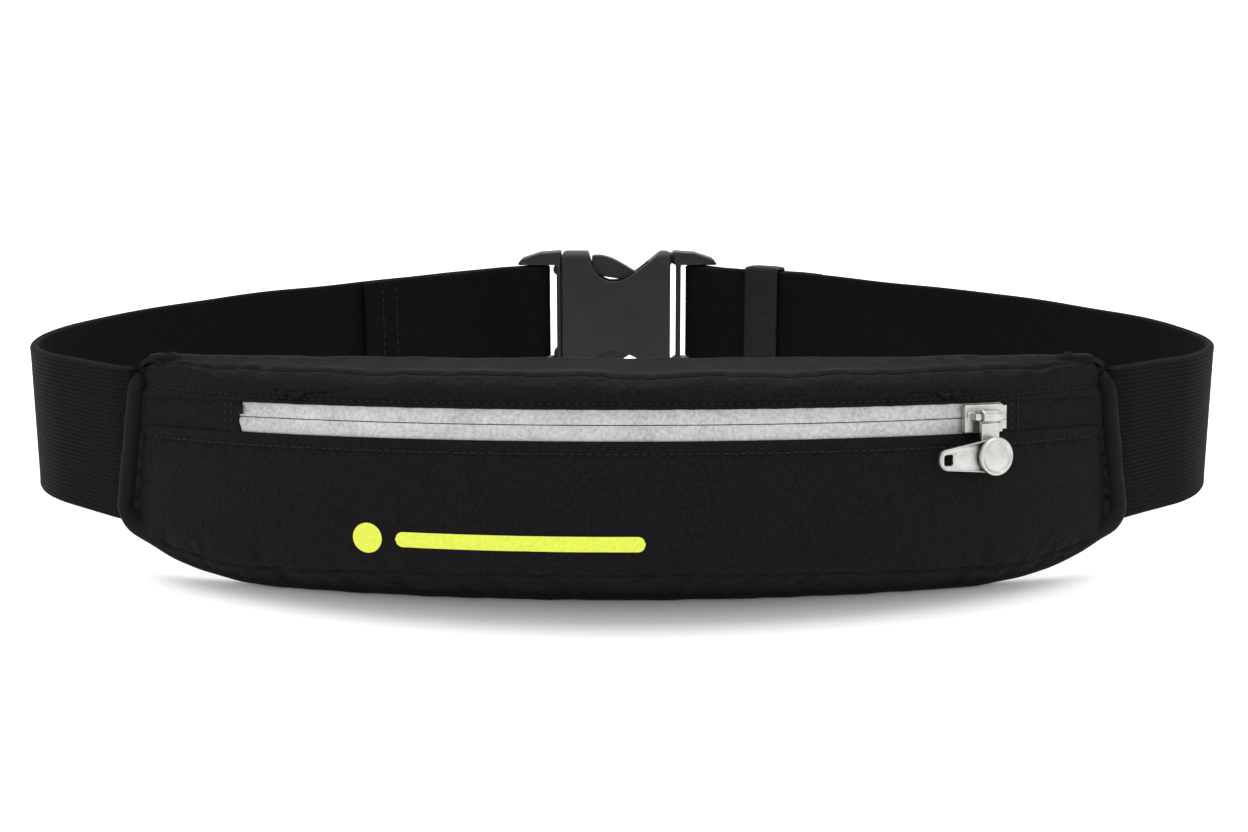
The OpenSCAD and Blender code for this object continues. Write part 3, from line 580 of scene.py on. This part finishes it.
tab_long = 27.6
for name, side in (("left", -1), ("right", 1)):
    inward = np.concatenate([[0, 0.03, 0.12, 0.3, 0.6], np.linspace(1.0, tab_long, 40)])[:, None]
    tab_z = np.linspace(zip_low - 0.6, zip_high + 0.6, 22)[None, :]
    mouth = window - 0.6 - 0.75 * ((tab_z - zip_z + 0.6) / 4) ** 2
    tab_x = side * (mouth + inward + (window - 0.2 - mouth) * inward / tab_long)
    folded_edge = 0.75 * np.clip(1 - inward / 0.3, 0, 1) ** 2
    creases = 0.06 * ripple(tab_x + 2 * tab_z, (7, 12, 19), 40 + side)
    tab_u = 0.04 - folded_edge + creases - 0.3 * np.clip((inward - 2) / 6, 0, 1)
    tab = make_piece("zip_end_tab_" + name, on_front(tab_x, tab_u, tab_z), outward=(0, -1, 0))
    thicken(tab, 0.0008)
    dress(tab, softshell, "front_cloth", "root", "zip_tab_" + name)
    for k, away in enumerate((1.3, 2.9)):
        bar_z = np.linspace(zip_low + 0.3, zip_high - 0.3, 12)
        line = on_front(side * (window + away) + 0 * bar_z, -0.05, bar_z)
        up = np.tile(placed(0, -1, 0) - placed(0, 0, 0), (12, 1))
        sewn = stitches(f"tab_stitches_{name}_{k + 1}", line, up, length=0.0013, pitch=0.0018, radius=0.00018)
        dress(sewn, thread, "front_cloth", "root")

nylon = look("zip_coil", (0.02, 0.02, 0.021), 0.4)
place = step(nylon, "TexCoord")["Object"]
coil_pitch = 0.0011
turns = step(nylon, "TexWave", {"Vector": place, "Scale": 0.314 / coil_pitch, "Distortion": 0.0},
             bands_direction="X")[1]
raised(nylon, turns, 0.0003)
rough_between(nylon, 0.3, 0.55, turns)
for name in ("zip_coil_upper", "zip_coil_lower"):
    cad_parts[name].data.materials.clear()
    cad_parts[name].data.materials.append(nylon)

# ---------------------------------------------------------------- slider, link and tab
# Zinc castings with a satin nickel plate: the slider with its bridge bar, a flat link that swings on
# the bar, and a tapered tab held to the link by a rivet with a wide round head.
nickel = look("pull_metal", (0.5, 0.49, 0.47), 0.3, Metallic=1.0)
place = step(nickel, "TexCoord")["Object"]
wear = step(nickel, "TexNoise", {"Vector": place, "Scale": 420.0, "Detail": 4.0})[0]
pits = step(nickel, "TexNoise", {"Vector": place, "Scale": 2200.0, "Detail": 2.0})[0]
colour_between(nickel, (0.34, 0.335, 0.32), (0.6, 0.59, 0.565), wear)
rough_between(nickel, 0.2, 0.42, wear)
raised(nickel, pits, 0.00006, 0.6)


def moulded(name, node, voxel, rounds):
    """A copy of a CAD node with its doubled points merged, remeshed in small cells and smoothed, which
    rounds its edges as casting or moulding does. voxel is the cell in metres, rounds how often it is
    smoothed."""
    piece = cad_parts[node].copy()
    piece.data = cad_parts[node].data.copy()
    piece.name = piece.data.name = name
    piece.parent = None
    for key in list(piece.keys()):
        del piece[key]
    bpy.context.scene.collection.objects.link(piece)
    work = bmesh.new()
    work.from_mesh(piece.data)
    bmesh.ops.remove_doubles(work, verts=work.verts, dist=1e-6)
    work.to_mesh(piece.data)
    work.free()
    cells = piece.modifiers.new("cells", "REMESH")
    cells.mode = "VOXEL"
    cells.voxel_size = voxel
    soft = piece.modifiers.new("soft", "SMOOTH")
    soft.factor, soft.iterations = 0.5, rounds
    found = bpy.data.meshes.new_from_object(piece.evaluated_get(bpy.context.evaluated_depsgraph_get()))
    piece.modifiers.clear()
    piece.data = found
    found.name = name
    found.polygons.foreach_set("use_smooth", np.ones(len(found.polygons), bool))
    return piece


for name, node, body in (("slider_body", "zip_slider", "slider"), ("link", "pull_link", "link")):
    dress(moulded(name, node, voxel=0.00014, rounds=5), nickel, "pull_metal", body, node)
# The stops are plated too, but the left one is painted black with the edge cloth, as painted shade, so that
# it sinks into the edge of its tab.
for node, made in (("zip_stop_left", smooth_knit), ("zip_stops_right", nickel)):
    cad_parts[node].data.materials.clear()
    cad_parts[node].data.materials.append(made)

slider_turn = math.radians(20.9128)


def at_slider(x, u, z):
    """A point given along the zip, out from its face and up, in millimetres from the slider's middle."""
    r = front_r + u
    return placed(r * math.sin(slider_turn) + x * math.cos(slider_turn),
                  front_centre - r * math.cos(slider_turn) + x * math.sin(slider_turn), zip_z + z)


# The rivet is turned: its profile, as radius and distance out, spun about its axis.
rivet_z, plate_u, head_u = -7.8, 3.95, 5.1
head_r = np.array([0.9, 1.8, 2.6, 3.1, 3.32, 3.48, 3.68, 3.94, 4.12, 4.2, 4.2, 4.1, 3.8, 1.2, 1.15])
head_out = np.array([0.96, 0.9, 0.8, 0.7, 0.72, 0.95, 1.08, 1.1, 1.02, 0.85, 0.3, 0.08, 0, 0, -1.8])
spin = np.linspace(0, 2 * math.pi, 61)[None, :-1]
head_points = at_slider(head_r[:, None] * np.cos(spin), head_u + head_out[:, None],
                        rivet_z + head_r[:, None] * np.sin(spin))
rivet = make_piece("rivet_head", head_points, join_columns=True, capped=True)
dress(rivet, nickel, "pull_metal", "link", "pull_rivet")

tip_x, tip_z, root_r, tip_r, hole_half = -11.7, -0.4, 3.7, 2.3, 1.2
compass = np.linspace(0, 2 * math.pi, 97)[:-1]
middle = np.array([tip_x, tip_z])


def tab_edge(angles):
    """Outline of the tapered tab seen from the hole's middle: the hull of the round root and the round
    tip. For every facing the line that just touches both circles is found, and the nearest line counts."""
    ring = np.linspace(0, 2 * math.pi, 721)
    root = np.stack([root_r * np.cos(ring), root_r * np.sin(ring)], 1) - middle
    tip = np.stack([tip_r * np.cos(ring), tip_r * np.sin(ring)], 1)
    facing = np.stack([np.cos(ring), np.sin(ring)], 1)
    support = np.maximum(facing @ root.T, facing @ tip.T).max(1)
    aim = np.stack([np.cos(angles), np.sin(angles)], 1) @ facing.T
    return np.where(aim > 1e-3, support / np.maximum(aim, 1e-3), 1e9).min(1)


square = hole_half / (abs(np.cos(compass)) ** 5 + abs(np.sin(compass)) ** 5) ** 0.2
edge = tab_edge(compass)
# Its section runs from the hole to the rim over a raised lip at each, then back underneath.
plate_share = np.array([0.0, 0.0, 0.03, 0.10, 0.2, 0.45, 0.8, 0.9, 0.97, 1, 1, 0.97, 0.5, 0.03])
plate_out = np.array([0.12, 0.85, 1.0, 0.98, 0.72, 0.7, 0.72, 0.98, 1.0, 0.85, 0.15, 0, 0, 0])
plate_reach = square[:, None] + (edge - square)[:, None] * plate_share[None, :]
plate_points = at_slider(tip_x + plate_reach * np.cos(compass)[:, None], plate_u + plate_out[None, :],
                         rivet_z + tip_z + plate_reach * np.sin(compass)[:, None])
plate = make_piece("pull_tab_plate", plate_points, join_rows=True, join_columns=True)
dress(plate, nickel, "pull_metal", "tab", "pull_tab")

# ---------------------------------------------------------------- printed mark
# A plain mark in yellow-green ink on the front cloth, a dot and a long bar, screen printed so that it
# follows the swell of the cloth and lets its grain through, with the hollows of that grain painted darker, as
# shade.
ink = look("print_ink", (0.58, 0.64, 0.07), 0.6, Specular_IOR_Level=0.2)
place = step(ink, "TexCoord")["Object"]
tooth = step(ink, "TexVoronoi", {"Vector": place, "Scale": 1450.0, "Randomness": 0.9},
             feature="SMOOTH_F1")["Distance"]
# Painted shade: the ink is darker in the hollows of the cloth's pebble and lighter on its tops.
colour_between(ink, (0.62, 0.68, 0.075), (0.48, 0.54, 0.05), tooth)
raised(ink, maths(ink, "SUBTRACT", 1.0, tooth), 0.00015, 0.6)
cloth_face = low_skin[:, low_row:low_stitch_row]
cloth_up = normals(low_skin)[:, low_row:low_stitch_row]
leaned = (cloth_face[..., 1] / mm - apex_y) * math.tan(lean)
cloth_height = (cloth_face[..., 2] / mm - ground_z + leaned) * math.cos(lean)


def printed(name, x, z, lift=0.00012):
    """Lays a grid of widths and heights on the front cloth: it looks up the cloth's column and row for each
    point, and stands off by lift along the cloth's normal."""
    wide = cloth_face[:, 10, 0] / mm
    i = np.interp(x, wide, np.arange(len(wide)))
    a = np.clip(i.astype(int), 0, len(wide) - 2)
    f = (i - a)[..., None]
    line = cloth_height[a] * (1 - f) + cloth_height[a + 1] * f
    k = np.argmax(line > z[..., None], -1) - 1
    low, high = (np.take_along_axis(line, (k + o)[..., None], -1)[..., 0] for o in (0, 1))
    g = ((z - low) / (high - low))[..., None]
    here = 0
    for source, weight in ((cloth_face, 1), (cloth_up, lift)):
        both = source[a] * (1 - f[..., None]) + source[a + 1] * f[..., None]
        near, far = (np.take_along_axis(both, (k + o)[..., None, None], -2)[..., 0, :] for o in (0, 1))
        here = here + weight * (near * (1 - g) + far * g)
    return make_piece(name, here, outward=(0, -1, 0))


mark_z, dot_x, dot_size = 15.5, -53.75, 3.25
bar_from, bar_to, bar_round = -45.95, 3.38, 1.625
dot_r = np.linspace(0.02, dot_size, 12)[:, None]
dot_turn = np.linspace(0, 2 * math.pi, 49)[None, :]
dot = printed("mark_dot", dot_x + dot_r * np.cos(dot_turn), mark_z + dot_r * np.sin(dot_turn))
bar_s = np.linspace(bar_from - 1.62, bar_to + 1.62, 160)[:, None]
past_end = np.clip(np.maximum(bar_from - bar_s, bar_s - bar_to), 0, None)
bar_half = np.sqrt(np.clip(bar_round ** 2 - past_end ** 2, 0.0004, None))
bar_z = mark_z + bar_half * np.linspace(-1, 1, 9)[None, :]
bar = printed("mark_bar", bar_s + 0 * bar_z, bar_z)
dress(dot, ink, "print_ink", "root", "front_print")
dress(bar, ink, "print_ink", "root")

# ---------------------------------------------------------------- webbing
# Ribbed elastic webbing, 38 mm wide. On the right it turns round the socket's bar and its free tail lies
# on the outside; on the left it turns round the plug's bar and is sewn back on the inside.
strap_w, strap_t, strap_z, strap_y = 38.0, 2.0, 30.5, apex_y
wrap_r, layer, station_step = 2.8, 2.2, 1.5
folded_back = {"right": 56, "left": 84}
# The plan of the belt on the right side, mirrored for the left: where and at what heading it leaves the
# pouch, then its legs, each a radius and the degrees it turns, or 0 and the length of a straight run.
belt_start = (114.75, 18.6675, math.radians(16.671))
around_side = ((30, 16.329), (0, 18), (45, 57), (95, 22), (170, 22))
legs = {"right": around_side + ((0, 63.2406), (25, 16), (0, 44)),
        "left": around_side + ((0, 90.9944), (25, 16), (0, 13.7706))}


def route(legs, s):
    """Stations x, y and heading at distances s along the belt's plan, one leg after another. On an arc the
    heading turns evenly with the distance run; on a straight run it stays."""
    x, y, h = belt_start
    out, done = np.zeros((len(s), 3)), 0.0
    for radius, size in legs:
        length = radius * math.radians(size) if radius else size
        run = s - done
        a = h + (run / radius if radius else 0 * run)
        if radius:
            spots = np.stack([x + radius * (np.sin(a) - math.sin(h)),
                              y + radius * (math.cos(h) - np.cos(a)), a], 1)
        else:
            spots = np.stack([x + run * math.cos(h), y + run * math.sin(h), a], 1)
        out = np.where((run >= 0)[:, None], spots, out)
        turned = h + (math.radians(size) if radius else 0)
        if radius:
            x += radius * (math.sin(turned) - math.sin(h))
            y += radius * (math.cos(h) - math.cos(turned))
        else:
            x += length * math.cos(h)
            y += length * math.sin(h)
        h, done = turned, done + length
    return out


def route_length(legs):
    """Length of all the legs."""
    return sum(r * math.radians(a) if r else a for r, a in legs)


def strap_line(side):
    """The webbing's middle line as rows of x, y, normal x, normal y: out to the bar, a half turn round it,
    then a second layer back along the first, outside on the right and inside on the left."""
    way = 1 if side == "right" else -1
    folded = folded_back[side]
    total = route_length(legs[side])
    s = np.arange(0, total, station_step)
    p = route(legs[side], np.append(s, total))
    first = np.stack([p[:, 0], p[:, 1], np.sin(p[:, 2]), -np.cos(p[:, 2])], 1)
    n, d = first[-1, 2:], np.array([math.cos(p[-1, 2]), math.sin(p[-1, 2])])
    centre = first[-1, :2] + way * wrap_r * n
    a = np.radians(np.arange(12, 180, 12))[:, None]
    m = n * np.cos(a) - way * d * np.sin(a)
    half_turn = np.hstack([centre - way * wrap_r * m, m])
    back_s = np.append(np.arange(0, folded, station_step), folded)
    ease = np.where(back_s < 16, (1 + np.cos(math.pi * np.minimum(back_s, 16) / 16)) / 2, 0)
    off = way * (layer + (2 * wrap_r - layer) * ease)
    q = route(legs[side], total - back_s)
    second = np.stack([q[:, 0] + off * np.sin(q[:, 2]), q[:, 1] - off * np.cos(q[:, 2]),
                       -np.sin(q[:, 2]), np.cos(q[:, 2])], 1)
    line = np.vstack([first, half_turn, second])
    return line * np.array([way, 1, way, 1])


def strap_point(line, out, z):
    """Metres for a point out along the line's normal, at height z above the webbing's middle."""
    return mm * np.stack(np.broadcast_arrays(line[:, 0:1] + out * line[:, 2:3],
                                             line[:, 1:2] + out * line[:, 3:4] + strap_y,
                                             strap_z + z + 0 * line[:, 0:1]), -1)


edge_turn = np.linspace(-math.pi / 2, math.pi / 2, 7)[1:-1]
half_strap, half_t, edge_round = strap_w / 2, strap_t / 2, 0.8
flat_z = np.linspace(-half_strap + edge_round, half_strap - edge_round, 25)
profile_z = np.concatenate([flat_z, half_strap - edge_round + edge_round * np.cos(edge_turn),
                            flat_z[::-1], -half_strap + edge_round - edge_round * np.cos(edge_turn)])
profile_out = np.concatenate([0 * flat_z - half_t, half_t * np.sin(edge_turn),
                              0 * flat_z + half_t, -half_t * np.sin(edge_turn)])
selvedge = 0.12 * np.exp(-((abs(profile_z) - 17.6) / 0.7) ** 2) * np.sign(profile_out)

elastic = look("webbing", (0.004, 0.004, 0.0044), 0.7, Specular_IOR_Level=0.04)
axes = step(elastic, "SeparateXYZ", {0: step(elastic, "UVMap", uv_map="cloth")[0]})
rib, pick = 0.00105, 0.00078
rib_at = maths(elastic, "DIVIDE", axes[1], rib)
offset = maths(elastic, "MULTIPLY", maths(elastic, "FLOOR", rib_at), 0.5)
pick_at = maths(elastic, "ADD", maths(elastic, "DIVIDE", axes[0], pick), offset)
rib_high = maths(elastic, "ABSOLUTE", maths(elastic, "SINE", maths(elastic, "MULTIPLY", rib_at, math.pi)))
pick_high = maths(elastic, "ABSOLUTE", maths(elastic, "SINE", maths(elastic, "MULTIPLY", pick_at, math.pi)))
weave = maths(elastic, "MULTIPLY", rib_high, maths(elastic, "MULTIPLY_ADD", pick_high, 0.55, 0.45))
from_middle = maths(elastic, "ABSOLUTE", axes[1])
edge_band = step(elastic, "MapRange", {"Value": from_middle, "From Min": 0.0176, "From Max": 0.0187})[0]
place = step(elastic, "TexCoord")["Object"]
fuzz = step(elastic, "TexNoise", {"Vector": place, "Scale": 240.0, "Detail": 3.0})[0]
pale_edge = maths(elastic, "MULTIPLY", edge_band, 0.6)
# Painted light and shade: the weave's crests are lighter and its grooves darker; the fuzz and the paler
# selvedge are the webbing's own tone.
weave_light_and_tone = maths(elastic, "MULTIPLY_ADD", weave, 0.7, maths(elastic, "MULTIPLY_ADD", fuzz, 0.3, pale_edge))
colour_between(elastic, (0.0006, 0.0006, 0.0007), (0.0054, 0.0053, 0.0059), weave_light_and_tone)
raised(elastic, weave, 0.00035, 0.9)

# The left webbing runs from the side of the belt to the plug's bar.
for side in ("right", "left"):
    line = strap_line(side)
    station = np.arange(len(line))[:, None]
    wander = 0.12 * ripple(station * station_step, (70, 43), 50 + folded_back[side])
    drift = wander * np.clip(abs(station - 190) / 40, 0, 1)
    points = strap_point(line, profile_out[None, :] + selvedge[None, :], profile_z[None, :] + drift)
    run = distances(line[:, :2]) * mm
    around = np.append(profile_z, profile_z[0]) * mm
    uv = np.stack(np.meshgrid(run, around, indexing="ij"), -1)
    webbing = make_piece("webbing_" + side, points, join_columns=True, capped=True, uv=uv)
    webbing.data.materials.append(elastic)
    if side == "right":
        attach(webbing, "root")
        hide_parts("strap_right")
    else:
        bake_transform(webbing)
        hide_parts("strap_left", "strap_left_end")

left = strap_line("left")
for k, away in enumerate((8.0, 13.5)):
    spot = left[-1 - round(away / station_step)]
    z = np.linspace(-16.5, 16.5, 40)
    for name, out in (("in", 1.0), ("out", -3.2)):
        line = mm * np.stack([spot[0] + out * spot[2] + 0 * z,
                              spot[1] + out * spot[3] + strap_y + 0 * z, strap_z + z], 1)
        up = np.tile([math.copysign(1, out) * spot[2], math.copysign(1, out) * spot[3], 0], (40, 1))
        sewn = stitches(f"fold_stitches_{name}_{k + 1}", line, up,
                        length=0.0022, pitch=0.0031, radius=0.00022)
        sewn.data.materials.append(thread)
        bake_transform(sewn)

# ---------------------------------------------------------------- keeper
# A closed band of smooth coated webbing round both layers of the right side, which holds the tail down
# and slides along it. Two lines of stitches run down its outer face and two down its inner face.
keeper_w, keeper_t, keeper_at = 14.0, 1.4, 32.0
spot = route(legs["right"], np.array([route_length(legs["right"]) - keeper_at]))[0]
heading = np.array([math.cos(spot[2]), math.sin(spot[2])])
outside = np.array([math.sin(spot[2]), -math.cos(spot[2])])
loop_t, loop_w, loop_r = 3.1 + 0.5, half_strap + 0.35 + 0.5, 0.9
corner = np.linspace(0, math.pi / 2, 7)
quarter_out = loop_t - loop_r + loop_r * np.cos(corner)
quarter_z = loop_w - loop_r + loop_r * np.sin(corner)
side_z = np.linspace(-(loop_w - loop_r), loop_w - loop_r, 30)[1:-1]
loop_out = np.concatenate([side_z * 0 + loop_t, quarter_out, -quarter_out[::-1],
                           side_z * 0 - loop_t, -quarter_out, quarter_out[::-1]])
loop_z = np.concatenate([side_z, quarter_z, quarter_z[::-1], side_z[::-1], -quarter_z, -quarter_z[::-1]])
loop = np.stack([loop_out, loop_z], 1)
ahead = np.roll(loop, -1, 0) - np.roll(loop, 1, 0)
ahead /= np.linalg.norm(ahead, axis=1, keepdims=True)
loop_n = np.stack([ahead[:, 1], -ahead[:, 0]], 1)
band_turn = np.linspace(0, 2 * math.pi, 41)[:-1]
band_along = keeper_w / 2 * np.sign(np.cos(band_turn)) * abs(np.cos(band_turn)) ** 0.35
band_rise = (keeper_t / 2 - 0.05) * np.sign(np.sin(band_turn)) * abs(np.sin(band_turn)) ** 0.6
crease = 0.1 * np.exp(-((abs(band_along) - 5.4) / 0.5) ** 2)
puff = np.where(band_rise > 0, 0.12 * np.cos(band_along / 7 * math.pi / 2) - crease, 0)
out_at = loop_out[:, None] + loop_n[:, :1] * (band_rise + puff)[None, :] + layer / 2
up_at = loop_z[:, None] + loop_n[:, 1:] * (band_rise + puff)[None, :]
plan = spot[None, None, :2] + out_at[..., None] * outside + band_along[None, :, None] * heading
keeper_points = mm * np.concatenate([plan + [0, strap_y], (strap_z + up_at)[..., None]], -1)
coated = look("keeper_band", (0.006, 0.006, 0.0065), 0.5, Specular_IOR_Level=0.12)
place = step(coated, "TexCoord")["Object"]
leather = step(coated, "TexVoronoi", {"Vector": place, "Scale": 900.0}, feature="F1")["Distance"]
colour_between(coated, (0.009, 0.009, 0.0098), (0.004, 0.004, 0.0044), leather)
rough_between(coated, 0.42, 0.65, leather)
raised(coated, leather, 0.00015, 0.5)
keeper_band = make_piece("keeper_loop", keeper_points, join_rows=True, join_columns=True)
dress(keeper_band, coated, "keeper_band", "keeper_band", "keeper")
for k, (along, out) in enumerate(((-1.5, 1), (1.5, 1), (-1.5, -1), (1.5, -1))):
    z = np.linspace(-17.5, 17.5, 40)
    reach = layer / 2 + out * (loop_t + keeper_t / 2 - 0.1)
    flat = spot[:2] + reach * outside + along * heading
    line = mm * np.stack([flat[0] + 0 * z, flat[1] + strap_y + 0 * z, strap_z + z], 1)
    up = np.tile([out * outside[0], out * outside[1], 0], (40, 1))
    sewn = stitches(f"keeper_stitches_{k + 1}", line, up, length=0.0017, pitch=0.0026, radius=0.00018)
    dress(sewn, thread, "keeper_band", "keeper_band")

# ---------------------------------------------------------------- buckle
# A side-release buckle moulded in black acetal with a satin face: the socket with a notch at each edge,
# and the plug whose two springy prongs show in the notches.
acetal = look("buckle_plastic", (0.012, 0.012, 0.0125), 0.42, Specular_IOR_Level=0.25)
place = step(acetal, "TexCoord")["Object"]
satin = step(acetal, "TexNoise", {"Vector": place, "Scale": 1900.0, "Detail": 3.0})[0]
flow = step(acetal, "TexNoise", {"Vector": place, "Scale": 70.0, "Detail": 2.0})[0]
colour_between(acetal, (0.008, 0.008, 0.0084), (0.0145, 0.0145, 0.0152), flow)
rough_between(acetal, 0.34, 0.52, flow)
raised(acetal, satin, 0.00006, 0.5)
for name, node, body, cell in (
        ("socket_shell", "buckle_socket", "root", 0.00045),
        ("plug_frame", "buckle_plug", "plug", 0.00035),
        ("prong_top", "prong_upper", "upper_prong", 0.0003),
        ("prong_bottom", "prong_lower", "lower_prong", 0.0003)):
    dress(moulded(name, node, voxel=cell, rounds=5), acetal, "buckle_plastic", body, node)

# ---------------------------------------------------------------- studio
# A plain white floor that runs back under soft light from above and both sides.
floor_points = np.meshgrid(np.linspace(-4, 4, 3), np.linspace(-2, 6, 3), [0.0], indexing="ij")
floor = make_piece("floor", np.stack(floor_points, -1)[:, :, 0], outward=(0, 0, 1))
white = look("floor_white", (0.96, 0.96, 0.96), 0.7)
place = step(white, "TexCoord")["Object"]
paper = step(white, "TexNoise", {"Vector": place, "Scale": 3.0})[0]
rough_between(white, 0.65, 0.75, paper)
floor.data.materials.append(white)

world = bpy.data.worlds.new("studio")
bpy.context.scene.world = world
world.use_nodes = True
world.node_tree.nodes["Background"].inputs[0].default_value = (1, 1, 1, 1)
world.node_tree.nodes["Background"].inputs[1].default_value = 1.04
for name, spot_at, aim_at, wide, power in (
        ("overhead", (0.0, 0.15, 1.1), (0, 0, 0), 1.3, 13),
        ("front_left", (-0.8, -1.0, 0.7), (0, -0.05, 0.03), 0.8, 3),
        ("front_right", (0.9, -0.9, 0.6), (0, -0.05, 0.03), 0.8, 2.2)):
    light = bpy.data.objects.new(name, bpy.data.lights.new(name, "AREA"))
    light.data.size = wide
    light.data.energy = power
    light.location = spot_at
    away = np.array(spot_at) - np.array(aim_at)
    tilt = math.acos(away[2] / np.linalg.norm(away))
    light.rotation_euler = (tilt, 0, math.atan2(away[1], away[0]) + math.pi / 2)
    bpy.context.scene.collection.objects.link(light)
bpy.context.scene.view_settings.view_transform = "Standard"
